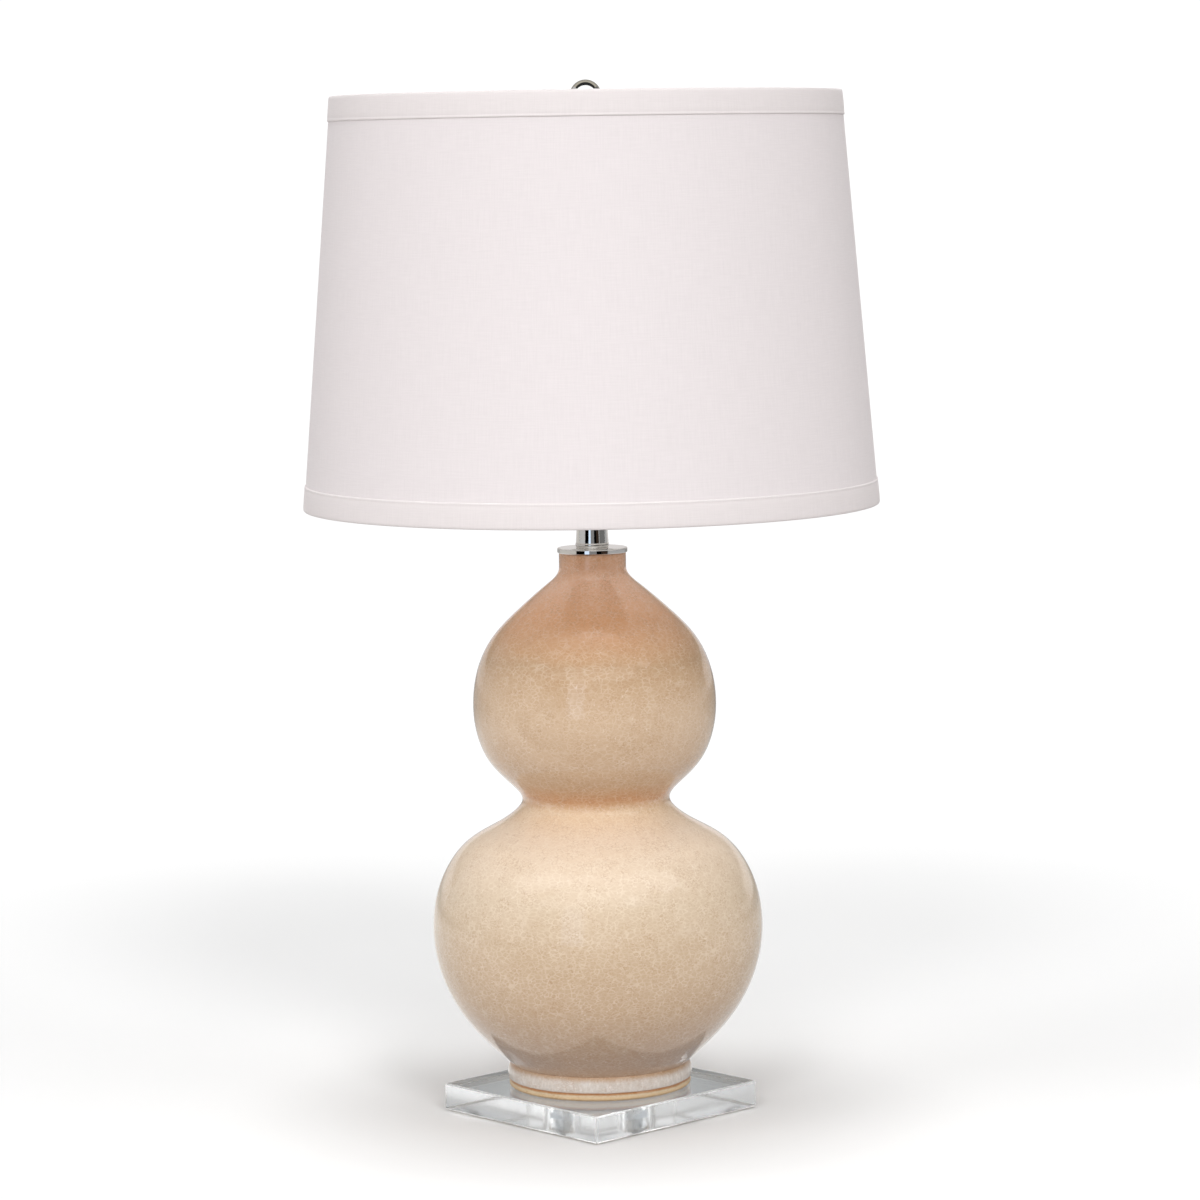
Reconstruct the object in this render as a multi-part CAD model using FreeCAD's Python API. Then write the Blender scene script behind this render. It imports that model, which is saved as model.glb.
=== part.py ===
import FreeCAD, Part
import math
import os

# Table lamp: a hollow double gourd of glazed clay on a clear square block, with a tapered drum
# shade that hangs from a harp. Millimetres. +Z is up, the origin is on the table under the
# middle of the block, and the lamp's front is -Y, with the cord's way out at +Y.

# Base block and its feet
base_side = 158.0
base_thickness = 19.0
base_bevel = 1.0
foot_height = 1.5
foot_radius = 6.0
foot_inset = 13.0
recess_radius = 17.0
recess_depth = 9.0

# Threaded lamp pipe and what holds it under the block
pipe_radius = 5.1
pipe_bore = 3.3
pipe_clearance = 0.2
pipe_below_nut = 1.0
washer_radius = 14.0
washer_thickness = 1.5
lock_washer_radius = 8.5
lock_washer_thickness = 1.2
lock_washer_gap = 1.6
nut_across_flats = 14.3
nut_thickness = 4.6

# Gourd: outside radii at its stations, and their heights over its own foot
gourd_wall = 6.0
lip_round = 1.0
lip_rise = 10.4
neck_radius = 23.7
neck_height = 370.6
upper_belly_radius = 86.1
upper_belly_height = 275.0
waist_radius = 52.3
waist_height = 205.6
lower_belly_radius = 117.3
lower_belly_height = 115.0
foot_join_radius = 63.8
foot_join_height = 17.0
foot_join_slope = 45.0

# Form between two stations: each pair is a share of the way down and of the way across
shoulder_form = ((0.13, 0.15), (0.30, 0.452), (0.55, 0.805))
upper_underside_form = ((0.28, 0.054), (0.58, 0.296), (0.82, 0.744))
lower_shoulder_form = ((0.12, 0.124), (0.34, 0.617), (0.64, 0.907))
lower_underside_form = ((0.38, 0.125), (0.74, 0.523))

# Foot of the gourd: a thick glazed band over a rounded ring of bare clay, luted on and fired as one
band_radius = 65.7
band_bottom = 6.0
ring_inset = 0.9
ring_round = 2.0
foot_ring_width = 9.0
underside_recess = 2.0
floor_thickness = 4.2
floor_hole_clearance = 1.2

# Bushing for the cord, at the back of the foot
bushing_height = 11.4
bushing_bore = 3.2
bushing_barrel = 4.3
bushing_clearance = 0.15
bushing_flange_radius = 5.6
bushing_flange = 1.5
bushing_round = 0.6
bushing_lip = 0.6
bushing_lip_length = 1.2
bushing_lip_gap = 0.2
bushing_seat = 0.3
pipe_slot_width = 6.4
pipe_slot_length = 14.0

# Vase cap and tapered neck tube
cap_radius = 24.8
cap_thickness = 3.7
cap_web = 1.3
cap_edge_drop = 0.3
cap_edge_round = 0.6
collar_clearance = 0.5
collar_wall = 1.6
collar_length = 5.0
neck_tube_length = 50.8
neck_tube_foot = 11.9
neck_tube_top = 8.9
neck_tube_hollow = 0.15
neck_bead = 1.6

# Harp: saddle under the socket, wire loop, sleeves that lock it and the stud on top
harp_height = 241.3
saddle_thickness = 1.6
saddle_width = 14.0
saddle_bend = 11.0
saddle_arm_height = 14.5
tang_height = 13.0
tang_width = 5.6
tang_gap = 0.1
harp_leg = 29.0
harp_half_width = 56.0
harp_wire_radius = 1.6
harp_leg_straight = 44.0
harp_bow_radius = 80.0
harp_shoulder_radius = 49.0
ferrule_length = 13.5
ferrule_wall = 1.0
ferrule_clearance = 0.15
ferrule_seat = 0.3
blade_overlap = 2.0
eye_radius = 7.0
stud_radius = 3.175
stud_fit = 0.05
stud_gap = 0.1
stud_flange_radius = 9.0
stud_flange = 1.6
stud_head_radius = 5.0
stud_head = 1.6
stud_length = 11.5
stud_tip = 0.5

# Socket
hub_radius = 8.5
hub_height = 7.4
socket_cap_radius = 17.3
socket_cap_height = 21.4
socket_cap_wall = 0.8
socket_cap_skirt = 6.7
bell_form = (0.62, 0.25)
socket_fit = 0.1
shell_wall = 0.5
shell_rim = 0.6
socket_height = 61.4
shell_lap = 5.5
liner_wall = 0.7
liner_gap = 0.2
switch_body_height = 19.5
switch_body_gap = 0.4
screw_shell_radius = 13.35
screw_shell_wall = 0.5
screw_shell_depth = 22.5
screw_shell_floor_hole = 8.0
contact_length = 11.0
contact_width = 4.0
contact_strip = 0.6
contact_rise = 2.0
terminal_flat = 11.6
terminal_head_radius = 2.6
terminal_head = 1.8
terminal_shank = 1.5
terminal_shank_length = 5.0
terminal_recess = 3.9
set_screw_radius = 1.5
set_screw_head_radius = 2.2
set_screw_head = 1.4
set_screw_clearance = 0.1

# Turn switch
spindle_radius = 2.0
spindle_fit = 0.05
spindle_depth = 10.0
spindle_reach = 5.0
spindle_hole_clearance = 1.0
knob_hub_radius = 4.0
knob_collar = 3.0
knob_grip_width = 13.0
knob_grip_thickness = 4.6
knob_grip_round = 2.0
knob_length = 15.0
knob_gap = 1.2

# Bulb
bulb_radius = 30.0
bulb_length = 110.0
bulb_neck = 13.6
bulb_cove = 60.0
bulb_glass_wall = 0.9
bulb_cap_radius = 12.95
bulb_cap_length = 22.5
bulb_cap_wall = 0.4
bulb_cap_taper = 3.0
bulb_cap_foot = 9.5
bulb_insulator_height = 2.0
bulb_contact_radius = 3.4
bulb_contact_height = 0.7
bulb_contact_gap = 0.3
bulb_plug_depth = 5.5

# Shade: the fabric's outside, its rings and the tape that binds its edges
shade_top_radius = 178.4
shade_bottom_radius = 202.4
shade_height = 288.7
shade_drop = 24.7
fabric_thickness = 0.5
liner_sheet = 0.6
glue_gap = 0.05
trim_width = 17.6
trim_thickness = 0.8
trim_flap = 8.0
trim_round = 0.5
ring_wire_radius = 1.6
ring_gap = 0.1
spider_hub_radius = 12.5
spider_hub_thickness = 1.6
spider_hole_clearance = 0.2
spider_arm_radius = 1.3
spider_arms = 3
spider_arm_start = 11.0
weld_gap = 0.05
arm_notch = 0.3

# Ball finial
finial_ball_radius = 11.15
finial_height = 34.0
finial_flat = 0.65
finial_flange_radius = 7.5
finial_flange = 1.5
finial_waist_radius = 4.6
finial_waist_place = 0.55
finial_step = 1.2
finial_seat_lip = 0.5
finial_bore_clearance = 0.1
finial_bore_spare = 0.6

# How far a cut runs past what it cuts, and how much of a round corner's radius its middle lies in
cut_margin = 1.0
corner_share = 1 - math.sqrt(0.5)

# Heights that follow from the stack of pieces
gourd_height = neck_height + lip_rise
base_top = foot_height + base_thickness
gourd_top = base_top + gourd_height
cap_top = gourd_top + cap_thickness
neck_tube_end = cap_top + neck_tube_length
saddle_top = neck_tube_end + saddle_thickness
harp_top = neck_tube_end + harp_height
hub_top = harp_top + spider_hub_thickness
shade_top = hub_top + shade_drop
shade_bottom = shade_top - shade_height
socket_top = saddle_top + socket_height
shell_bottom = saddle_top + socket_cap_height - shell_lap
switch_body_bottom = shell_bottom + socket_fit + shell_wall
switch_body_top = switch_body_bottom + switch_body_height
spindle_height = switch_body_bottom + switch_body_height / 2
recess_top = foot_height + recess_depth
nut_bottom = recess_top - washer_thickness - lock_washer_thickness - nut_thickness
pipe_bottom = nut_bottom - pipe_below_nut
pipe_top = saddle_top + hub_height
bushing_z = base_top + bushing_height

# Radii that follow from what a piece fits
mouth_radius = neck_radius - gourd_wall
shell_radius = socket_cap_radius - socket_cap_wall - socket_fit
liner_radius = shell_radius - shell_wall - liner_gap
switch_body_radius = liner_radius - liner_wall - switch_body_gap
pipe_hole = pipe_radius + pipe_clearance

ORIGIN = FreeCAD.Vector(0, 0, 0)
UP = FreeCAD.Vector(0, 0, 1)
DOWN = FreeCAD.Vector(0, 0, -1)


def at(radius, height):
    """A point of an outline, in the plane that is turned about the lamp's axis."""
    return FreeCAD.Vector(radius, 0, height)


def edges_through(*stops):
    """Edges from stop to stop. A stop is a corner, or a pair: an arc through the first to the second."""
    edges = []
    here = at(*stops[0])
    for stop in stops[1:]:
        if isinstance(stop[0], tuple):
            middle, end = at(*stop[0]), at(*stop[1])
            edges.append(Part.Arc(here, middle, end).toShape())
        else:
            end = at(*stop)
            edges.append(Part.LineSegment(here, end).toShape())
        here = end
    return edges


def turned_edges(edges):
    """Solid of revolution of a closed run of edges."""
    return Part.Face(Part.Wire(edges)).revolve(ORIGIN, UP, 360)


def turned(*stops):
    """Solid of revolution of a closed outline given by its stops."""
    return turned_edges(edges_through(*stops, stops[0]))


def tube(inner, outer, bottom, top):
    return turned((inner, bottom), (outer, bottom), (outer, top), (inner, top))


def disc(radius, bottom, top):
    return Part.makeCylinder(radius, top - bottom, FreeCAD.Vector(0, 0, bottom))


def rod(start, end, radius):
    axis = end.sub(start)
    return Part.makeCylinder(radius, axis.Length, start, axis)


def box(x0, x1, y0, y1, z0, z1):
    return Part.makeBox(x1 - x0, y1 - y0, z1 - z0, FreeCAD.Vector(x0, y0, z0))


def hexagon(across_flats, bottom, top):
    corner = across_flats / math.sqrt(3)
    angles = [math.radians(60 * k) for k in range(7)]
    points = [FreeCAD.Vector(corner * math.cos(a), corner * math.sin(a), bottom) for a in angles]
    return Part.Face(Part.makePolygon(points)).extrude(UP * (top - bottom))


def round_about_axis(shape, count):
    """The shape repeated evenly about the lamp's axis, with the first copy where it is."""
    return [shape.rotated(ORIGIN, UP, 360 * k / count) for k in range(count)]


def wound_circle(centre, direction, radius):
    return Part.Wire(Part.makeCircle(radius, centre, direction))


def swept(path_edges, section):
    """Section swept along a run of tangent edges, as a solid."""
    return Part.Wire(path_edges).makePipeShell([section], True, True)


# Base


def base_plate():
    """Clear block with polished bevels, a hole for the pipe and a round recess for its nut."""
    half = base_side / 2
    block = box(-half, half, -half, half, foot_height, base_top)
    block = block.makeChamfer(base_bevel, block.Edges)
    recess = disc(recess_radius, foot_height - cut_margin, recess_top)
    return block.cut(recess).cut(disc(pipe_hole, foot_height, base_top + cut_margin))


def base_feet():
    """Four clear bumper discs with a domed edge, stuck under the block's corners."""
    place = base_side / 2 - foot_inset
    soft = corner_share * foot_height
    foot = turned(
        (0, 0),
        (foot_radius - foot_height, 0),
        ((foot_radius - soft, soft), (foot_radius, foot_height)),
        (0, foot_height),
    )
    corners = [(x, y) for x in (-place, place) for y in (-place, place)]
    return Part.makeCompound([foot.translated(FreeCAD.Vector(x, y, 0)) for x, y in corners])


def base_washer():
    return tube(pipe_hole, washer_radius, recess_top - washer_thickness, recess_top)


def base_lock_washer():
    """Spring washer, split on one side."""
    top = recess_top - washer_thickness
    bottom = top - lock_washer_thickness
    ring = tube(pipe_hole, lock_washer_radius, bottom, top)
    half_gap = lock_washer_gap / 2
    low, high = bottom - cut_margin, top + cut_margin
    return ring.cut(box(0, 2 * lock_washer_radius, -half_gap, half_gap, low, high))


def base_nut():
    top = nut_bottom + nut_thickness
    nut = hexagon(nut_across_flats, nut_bottom, top)
    return nut.cut(disc(pipe_hole, nut_bottom - cut_margin, top + cut_margin))


def lamp_pipe():
    """Threaded tube through the lamp, with a slot that lets the cord in beside the bushing."""
    pipe = tube(pipe_bore, pipe_radius, pipe_bottom, pipe_top)
    half_width = pipe_slot_width / 2
    slot_bottom = base_top + floor_top()
    slot_top = slot_bottom + pipe_slot_length
    return pipe.cut(box(-half_width, half_width, 0, 2 * pipe_radius, slot_bottom, slot_top))


# Gourd


def between(upper, lower, form):
    """Points of a stretch of the outline, from one (radius, height) station to before the next."""
    formed = [
        (upper[0] + across * (lower[0] - upper[0]), upper[1] + down * (lower[1] - upper[1]))
        for down, across in form
    ]
    return [at(radius, height) for radius, height in [upper, *formed]]


def smooth(points, last_heading):
    """Smooth curve through the points that sets out straight down."""
    # Both headings keep their unit length, so that the wall doesn't fold near the foot
    curve = Part.BSplineCurve()
    curve.interpolate(Points=points, InitialTangent=DOWN, FinalTangent=last_heading, Scale=False)
    return curve


def inset(curve, points, last_heading, depth):
    """The curve moved inwards by the depth, square to itself at each of its points."""
    moved = []
    for point in points:
        heading = curve.tangent(curve.parameter(point))[0]
        moved.append(point + FreeCAD.Vector(heading.z, 0, -heading.x) * depth)
    return smooth(moved, last_heading)


def floor_top():
    return underside_recess + floor_thickness


def gourd_curves():
    """Outer and inner curve of the wall, each one smooth run from the neck down to the foot."""
    slope = math.radians(foot_join_slope)
    into_foot = FreeCAD.Vector(-math.cos(slope), 0, -math.sin(slope))
    neck = (neck_radius, neck_height)
    upper_belly = (upper_belly_radius, upper_belly_height)
    waist = (waist_radius, waist_height)
    lower_belly = (lower_belly_radius, lower_belly_height)
    foot = (foot_join_radius, foot_join_height)
    points = [
        *between(neck, upper_belly, shoulder_form),
        *between(upper_belly, waist, upper_underside_form),
        *between(waist, lower_belly, lower_shoulder_form),
        *between(lower_belly, foot, lower_underside_form),
        at(*foot),
    ]
    outer = smooth(points, into_foot)
    return outer, inset(outer, points, into_foot, gourd_wall)


def gourd_body():
    """Slip-cast double gourd, open at the neck and at the joint with its foot."""
    outer, inner = gourd_curves()
    soft = corner_share * lip_round
    seam = inner_foot_radius()
    outside = edges_through(
        (mouth_radius, gourd_height),
        (neck_radius - lip_round, gourd_height),
        ((neck_radius - soft, gourd_height - soft), (neck_radius, gourd_height - lip_round)),
        (neck_radius, neck_height),
    )
    joint = edges_through(
        (foot_join_radius, foot_join_height),
        (seam, foot_join_height),
        (seam, inner.value(inner.LastParameter).z),
    )
    rim = edges_through((mouth_radius, neck_height), (mouth_radius, gourd_height))
    runs = outside + [outer.toShape()] + joint + [inner.toShape()] + rim
    return turned_edges(Part.__sortEdges__(runs)).translated(UP * base_top)


def inner_foot_radius():
    """Inside radius of the wall where the body joins its foot."""
    _, inner = gourd_curves()
    return inner.value(inner.LastParameter).x


def gourd_foot():
    """Foot luted to the gourd: a glazed band over a ring of bare clay, a floor and the cord's hole."""
    band_middle = (foot_join_height + band_bottom) / 2
    ring_radius = band_radius - ring_inset
    soft = corner_share * ring_round
    hole = pipe_radius + floor_hole_clearance
    seam = inner_foot_radius()
    foot = turned(
        (foot_join_radius, foot_join_height),
        ((band_radius, band_middle), (ring_radius + ring_inset / 2, band_bottom)),
        (ring_radius - ring_inset / 2, band_bottom - ring_inset / 2),
        (ring_radius, ring_round),
        ((ring_radius - soft, soft), (ring_radius - ring_round, 0)),
        (band_radius - foot_ring_width, 0),
        (band_radius - foot_ring_width, underside_recess),
        (hole, underside_recess),
        (hole, floor_top()),
        (seam, floor_top()),
        (seam, foot_join_height),
    )
    cord_hole = Part.makeCylinder(
        bushing_barrel + bushing_clearance,
        2 * band_radius,
        FreeCAD.Vector(0, 0, bushing_height),
        FreeCAD.Vector(0, 1, 0),
    )
    return foot.cut(cord_hole).translated(UP * base_top)


def cord_bushing():
    """Snap-in bushing: a rounded flange outside, a barrel through the wall and a lip behind it."""
    back = bushing_seat
    front = back + bushing_flange
    edge = front - bushing_round
    lip = inner_foot_radius() - band_radius - bushing_lip_gap
    tip = lip - bushing_lip_length
    bushing = turned(
        (bushing_bore + bushing_round, front),
        (bushing_flange_radius - bushing_round, front),
        (bushing_flange_radius, edge),
        (bushing_flange_radius, back),
        (bushing_barrel, back),
        (bushing_barrel, lip),
        (bushing_barrel + bushing_lip, lip),
        (bushing_barrel, tip),
        (bushing_bore, tip),
        (bushing_bore, edge),
    )
    bushing.rotate(ORIGIN, FreeCAD.Vector(1, 0, 0), -90)
    return bushing.translated(FreeCAD.Vector(0, band_radius, bushing_z))


def vase_cap():
    """Polished disc on the neck, with a softened edge and a collar that centres it in the mouth."""
    collar = mouth_radius - collar_clearance
    edge_top = cap_top - cap_edge_drop
    soft = corner_share * cap_edge_round
    return turned(
        (pipe_hole, cap_top - cap_web),
        (collar - collar_wall, cap_top - cap_web - cap_edge_drop / 2),
        (collar - collar_wall, gourd_top - collar_length),
        (collar, gourd_top - collar_length),
        (collar, gourd_top),
        (cap_radius - cap_edge_round, gourd_top),
        ((cap_radius - soft, gourd_top + soft), (cap_radius, gourd_top + cap_edge_round)),
        (cap_radius, edge_top - cap_edge_round),
        ((cap_radius - soft, edge_top - soft), (cap_radius - cap_edge_round, edge_top)),
        (neck_tube_foot, cap_top),
        (pipe_hole, cap_top),
    )


def neck_tube():
    """Tapered sleeve round the pipe, drawn in along its height, with a rounded foot."""
    middle_height = cap_top + neck_tube_length / 2
    middle_radius = (neck_tube_foot + neck_tube_top) / 2 - neck_tube_hollow
    foot = neck_tube_foot - neck_bead / 2
    return turned(
        (pipe_hole, cap_top),
        (foot, cap_top),
        ((neck_tube_foot, cap_top + neck_bead), (foot + neck_bead / 4, cap_top + 2 * neck_bead)),
        ((middle_radius, middle_height), (neck_tube_top, neck_tube_end)),
        (pipe_hole, neck_tube_end),
    )


# Harp


def saddle_path():
    """Middle line of the saddle's strip: up one arm, round, along the bottom and up the other."""
    x = harp_leg - tang_gap / 2 - saddle_thickness / 2
    low = neck_tube_end + saddle_thickness / 2
    top = neck_tube_end + saddle_arm_height + tang_height
    bend_bottom = low + saddle_bend
    soft = corner_share * saddle_bend
    return edges_through(
        (-x, top),
        (-x, bend_bottom),
        ((-x + soft, low + soft), (-x + saddle_bend, low)),
        (x - saddle_bend, low),
        ((x - soft, low + soft), (x, bend_bottom)),
        (x, top),
    )


def harp_saddle():
    """Bent strip clamped under the socket, whose arms narrow to tangs for the harp's ends."""
    path = saddle_path()
    start = path[0].valueAt(path[0].FirstParameter)
    half_thick, half_wide = saddle_thickness / 2, saddle_width / 2
    signs = [(-1, -1), (1, -1), (1, 1), (-1, 1), (-1, -1)]
    corners = [start + FreeCAD.Vector(x * half_thick, y * half_wide, 0) for x, y in signs]
    strip = swept(path, Part.makePolygon(corners))
    shoulder = neck_tube_end + saddle_arm_height
    top = shoulder + tang_height + cut_margin
    for side in (-1, 1):
        edge, far = sorted((side * tang_width / 2, side * saddle_width))
        strip = strip.cut(box(-2 * harp_leg, 2 * harp_leg, edge, far, shoulder, top))
    return strip.cut(disc(pipe_hole, neck_tube_end - cut_margin, saddle_top + cut_margin))


def harp_path():
    """Middle line of the harp's wire, from the right leg over the top to the left leg."""
    leg_end = neck_tube_end + harp_leg_straight
    wire_top = harp_top - stud_flange - stud_gap - harp_wire_radius
    bow_turn = math.acos(1 - (harp_half_width - harp_leg) / 2 / harp_bow_radius)
    rise = harp_bow_radius * math.sin(bow_turn)
    middle = (harp_leg + harp_half_width) / 2
    sag = harp_bow_radius * (1 - math.cos(bow_turn / 2))
    half_rise = harp_bow_radius * math.sin(bow_turn / 2)
    bow_end = leg_end + 2 * rise
    shoulder = wire_top - harp_shoulder_radius
    corner = corner_share * harp_shoulder_radius
    right = [
        (harp_leg, neck_tube_end + saddle_arm_height + tang_height + ferrule_seat),
        (harp_leg, leg_end),
        ((harp_leg + sag, leg_end + half_rise), (middle, leg_end + rise)),
        ((harp_half_width - sag, bow_end - half_rise), (harp_half_width, bow_end)),
        (harp_half_width, shoulder),
        (
            (harp_half_width - corner, wire_top - corner),
            (harp_half_width - harp_shoulder_radius, wire_top),
        ),
    ]
    right_edges = edges_through(*right)
    left_edges = [edge.mirror(ORIGIN, FreeCAD.Vector(1, 0, 0)) for edge in reversed(right_edges)]
    half_top = harp_half_width - harp_shoulder_radius
    bridge = edges_through((half_top, wire_top), (-half_top, wire_top))
    return right_edges + bridge + left_edges, wire_top


def harp_wire():
    """Bowed wire loop with an eye at the top and flattened ends that stand beside the tangs."""
    path, wire_top = harp_path()
    start = path[0].valueAt(path[0].FirstParameter)
    wire = swept(path, wound_circle(start, UP, harp_wire_radius))
    half_blade = tang_width / 2
    blade_bottom = neck_tube_end + saddle_arm_height + ferrule_seat
    inner_face = harp_leg + tang_gap / 2
    blade = box(
        inner_face,
        inner_face + harp_wire_radius,
        -half_blade,
        half_blade,
        blade_bottom,
        start.z + blade_overlap,
    )
    eye = disc(eye_radius, wire_top - harp_wire_radius, wire_top + harp_wire_radius)
    harp = wire.fuse([blade, blade.mirror(ORIGIN, FreeCAD.Vector(1, 0, 0)), eye])
    hole = disc(stud_radius + stud_fit, wire_top - eye_radius, wire_top + eye_radius)
    return harp.cut(hole).removeSplitter()


def ferrule(side):
    """Sleeve that slides down over one tang and the harp's end beside it."""
    corner = math.hypot(tang_gap / 2 + harp_wire_radius, tang_width / 2)
    bore = corner + ferrule_clearance
    bottom = neck_tube_end + saddle_arm_height + ferrule_seat
    outer = bore + ferrule_wall
    sleeve = turned(
        (bore, bottom),
        (outer, bottom),
        (outer, bottom + ferrule_length - ferrule_wall),
        (outer - ferrule_wall / 2, bottom + ferrule_length),
        (bore, bottom + ferrule_length),
    )
    return sleeve.translated(FreeCAD.Vector(side * harp_leg, 0, 0))


def harp_stud():
    """Threaded stud riveted through the harp's eye, free to turn, with a flange for the shade."""
    flange_bottom = harp_top - stud_flange
    eye_bottom = flange_bottom - stud_gap - 2 * harp_wire_radius
    head_top = eye_bottom - stud_gap
    return turned(
        (0, head_top - stud_head),
        (stud_head_radius - stud_head / 2, head_top - stud_head),
        (stud_head_radius, head_top - stud_head / 2),
        (stud_head_radius, head_top),
        (stud_radius, head_top),
        (stud_radius, flange_bottom),
        (stud_flange_radius, flange_bottom),
        (stud_flange_radius, harp_top),
        (stud_radius, harp_top),
        (stud_radius, harp_top + stud_length - stud_tip),
        (stud_radius - stud_tip, harp_top + stud_length),
        (0, harp_top + stud_length),
    )


# Socket


def socket_cap():
    """Cup of the socket: a threaded hub on the pipe that opens into a bell."""
    bore = pipe_hole - pipe_clearance / 2
    hub_inside = saddle_top + hub_height
    rim = saddle_top + socket_cap_height
    bell = rim - socket_cap_skirt
    wall = socket_cap_wall
    slant = wall * math.sqrt(0.5)
    across, rise = bell_form
    middle_radius = hub_radius + across * (socket_cap_radius - hub_radius)
    middle_height = hub_inside + rise * (bell - hub_inside)
    cap = turned(
        (bore, saddle_top),
        (hub_radius, saddle_top),
        (hub_radius, hub_inside - wall),
        ((middle_radius, middle_height), (socket_cap_radius, bell)),
        (socket_cap_radius, rim),
        (socket_cap_radius - wall, rim),
        (socket_cap_radius - wall, bell + wall / 2),
        ((middle_radius - slant, middle_height + slant), (hub_radius - wall, hub_inside)),
        (bore, hub_inside),
    )
    screw_hole = rod(ORIGIN, FreeCAD.Vector(0, 2 * hub_radius, 0), set_screw_radius + set_screw_clearance)
    return cap.cut(screw_hole.translated(UP * set_screw_height()))


def set_screw_height():
    return saddle_top + hub_height / 2


def cap_set_screw():
    """Small screw in the hub that stops the socket from turning on the pipe."""
    height = set_screw_height()
    tip = pipe_radius + set_screw_clearance
    head = hub_radius + set_screw_clearance
    shank = rod(FreeCAD.Vector(0, tip, height), FreeCAD.Vector(0, head, height), set_screw_radius)
    cap_end = FreeCAD.Vector(0, head + set_screw_head, height)
    return shank.fuse(rod(FreeCAD.Vector(0, head, height), cap_end, set_screw_head_radius)).removeSplitter()


def spindle_opening():
    """Way out for the switch's spindle, to be cut from what stands round it."""
    reach = FreeCAD.Vector(0, -2 * socket_cap_radius, 0)
    return rod(ORIGIN, reach, spindle_radius + spindle_hole_clearance).translated(UP * spindle_height)


def socket_shell():
    """Metal shell that stands in the cap, with a rolled top edge."""
    inner = shell_radius - shell_wall
    shell = turned(
        (inner, shell_bottom),
        (shell_radius, shell_bottom),
        (shell_radius, socket_top - 2 * shell_rim),
        ((shell_radius + shell_rim, socket_top - shell_rim), (shell_radius, socket_top)),
        (inner, socket_top),
    )
    return shell.cut(spindle_opening())


def socket_liner():
    """Card sleeve between the shell and what is live."""
    sleeve = tube(liner_radius - liner_wall, liner_radius, switch_body_bottom, socket_top - shell_rim)
    return sleeve.cut(spindle_opening())


def switch_body():
    """Moulded block with the switch inside, flats for the terminals and a bore for the spindle."""
    block = disc(switch_body_radius, switch_body_bottom, switch_body_top)
    for side in (-1, 1):
        near, far = sorted((side * terminal_flat, side * 2 * switch_body_radius))
        low = spindle_height - terminal_recess
        high = spindle_height + terminal_recess
        block = block.cut(box(near, far, -terminal_recess, terminal_recess, low, high))
        tip, seat, _ = terminal_places(side)
        block = block.cut(rod(seat, tip, terminal_shank))
    bore_end = FreeCAD.Vector(0, -switch_body_radius + spindle_depth, spindle_height)
    bore_start = FreeCAD.Vector(0, -2 * switch_body_radius, spindle_height)
    return block.cut(rod(bore_start, bore_end, spindle_radius + spindle_fit))


def terminal_places(side):
    """Tip, seat and top of the binding screw on one side of the switch body."""
    distances = (terminal_flat - terminal_shank_length, terminal_flat, terminal_flat + terminal_head)
    return [FreeCAD.Vector(side * distance, 0, spindle_height) for distance in distances]


def terminal_screws():
    """Two binding screws, one on each side of the switch body."""
    screws = []
    for side in (-1, 1):
        tip, seat, top = terminal_places(side)
        screw = rod(tip, seat, terminal_shank).fuse(rod(seat, top, terminal_head_radius))
        screws.append(screw.removeSplitter())
    return Part.makeCompound(screws)


def screw_shell():
    """Thin metal sleeve that takes the bulb, with a floor round its contact."""
    outer = screw_shell_radius + screw_shell_wall
    floor = switch_body_top + screw_shell_wall
    return turned(
        (screw_shell_floor_hole, switch_body_top),
        (outer, switch_body_top),
        (outer, switch_body_top + screw_shell_depth),
        (screw_shell_radius, switch_body_top + screw_shell_depth),
        (screw_shell_radius, floor),
        (screw_shell_floor_hole, floor),
    )


def centre_contact():
    """Strip with a raised tongue under the middle of the bulb."""
    half, wide = contact_length / 2, contact_width / 2
    tongue = contact_rise
    side = edges_through(
        (-half, switch_body_top),
        (half, switch_body_top),
        (half, switch_body_top + contact_strip),
        (-half + tongue, switch_body_top + contact_strip),
        (tongue, switch_body_top + tongue),
        (tongue, switch_body_top + tongue + contact_strip),
        (-tongue, switch_body_top + tongue + contact_strip),
        (-half, switch_body_top + contact_strip),
        (-half, switch_body_top),
    )
    strip = Part.Face(Part.Wire(side)).extrude(FreeCAD.Vector(0, contact_width, 0))
    return strip.translated(FreeCAD.Vector(0, -wide, 0))


# Switch


def switch_spindle():
    inner_end = FreeCAD.Vector(0, -switch_body_radius + spindle_depth - spindle_fit, spindle_height)
    outer_end = FreeCAD.Vector(0, knob_face() - spindle_reach, spindle_height)
    return rod(inner_end, outer_end, spindle_radius)


def knob_face():
    """Where the knob begins, in front of the shell."""
    return -socket_cap_radius - knob_gap


def switch_knob():
    """Key-shaped knob: a round collar and a flat grip with rounded edges, bored for the spindle."""
    face = knob_face()
    collar = rod(
        FreeCAD.Vector(0, face, spindle_height),
        FreeCAD.Vector(0, face - knob_collar, spindle_height),
        knob_hub_radius,
    )
    half_wide, half_thick = knob_grip_width / 2, knob_grip_thickness / 2
    grip = box(
        -half_wide,
        half_wide,
        face - knob_length,
        face - knob_collar,
        spindle_height - half_thick,
        spindle_height + half_thick,
    )
    far_edges = [edge for edge in grip.Edges if edge.BoundBox.YMax < face - knob_length / 2]
    grip = grip.makeFillet(knob_grip_round, far_edges)
    bore_end = FreeCAD.Vector(0, face - spindle_reach - spindle_fit, spindle_height)
    bore = rod(FreeCAD.Vector(0, face + cut_margin, spindle_height), bore_end, spindle_radius)
    return collar.fuse(grip).cut(bore).removeSplitter()


# Bulb


def bulb_bottom():
    return switch_body_top + contact_rise + contact_strip + bulb_contact_gap


def bulb_cap_bottom():
    return bulb_bottom() + bulb_contact_height + bulb_insulator_height


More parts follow.
